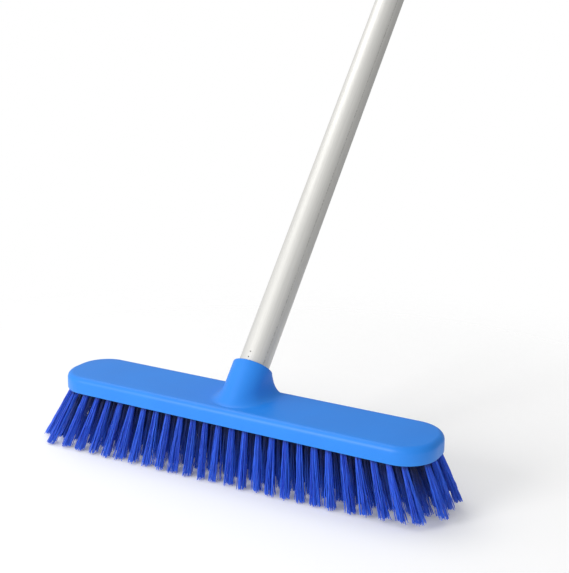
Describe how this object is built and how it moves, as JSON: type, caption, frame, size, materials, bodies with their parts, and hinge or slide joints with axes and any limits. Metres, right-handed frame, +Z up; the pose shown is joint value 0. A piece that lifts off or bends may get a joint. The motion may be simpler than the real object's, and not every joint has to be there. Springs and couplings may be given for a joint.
{
  "type": "deck brush",
  "caption": "Long moulded brush head with splayed bristle tufts and a tilted socket, on a straight tubular pole that screws in, with a grip and a hanging eye at its top.",
  "frame": {"origin": "centre of the block's flat underside, the face that the tufts come out of", "axes": "+X along the block, +Y the way the pole leans back, +Z up out of the block's top; the bristles point down -Z"},
  "size_m": [0.4476, 0.8663, 1.0273],
  "materials": {
    "block": "satin moulded polypropylene, bright blue, fine grain",
    "bristle": "crimped polypropylene filament, deep blue",
    "pole": "satin drawn aluminium",
    "plug": "natural moulded polypropylene",
    "washer": "matt black rubber",
    "grip": "matt moulded plastic, blue"
  },
  "bodies": {
    "head": {"brush_block": "block", "tuft_column_01": "bristle", "tuft_column_02": "bristle", "tuft_column_03": "bristle", "tuft_column_04": "bristle", "tuft_column_05": "bristle", "tuft_column_06": "bristle", "tuft_column_07": "bristle", "tuft_column_08": "bristle", "tuft_column_09": "bristle", "tuft_column_10": "bristle", "tuft_column_11": "bristle", "tuft_column_12": "bristle", "tuft_column_13": "bristle", "tuft_column_14": "bristle", "tuft_column_15": "bristle", "tuft_column_16": "bristle", "tuft_column_17": "bristle", "tuft_column_18": "bristle", "tuft_column_19": "bristle", "tuft_column_20": "bristle", "tuft_column_21": "bristle", "tuft_column_22": "bristle", "tuft_column_23": "bristle", "tuft_column_24": "bristle", "tuft_column_25": "bristle", "tuft_column_26": "bristle", "tuft_column_27": "bristle", "tuft_column_28": "bristle"},
    "washer": {"seal_washer": "washer"},
    "pole": {"thread_plug": "plug", "pole_tube": "pole", "grip_sleeve": "grip", "hanging_cap": "grip"}
  },
  "joints": [
    {"name": "pole_advance", "type": "slide", "parent": "head", "child": "washer", "axis": [0, 0.6494, 0.7604], "range_m": [0, 0.01501]},
    {"name": "pole_turn", "type": "hinge", "parent": "washer", "child": "pole", "pos_m": [0, 0, 0.0163], "axis": [0, 0.6494, 0.7604], "range_deg": [0, 1080]}
  ],
  "couplings": [
    {"joint": "pole_advance", "follows": "pole_turn", "m_per_rad": 0.00079577}
  ]
}
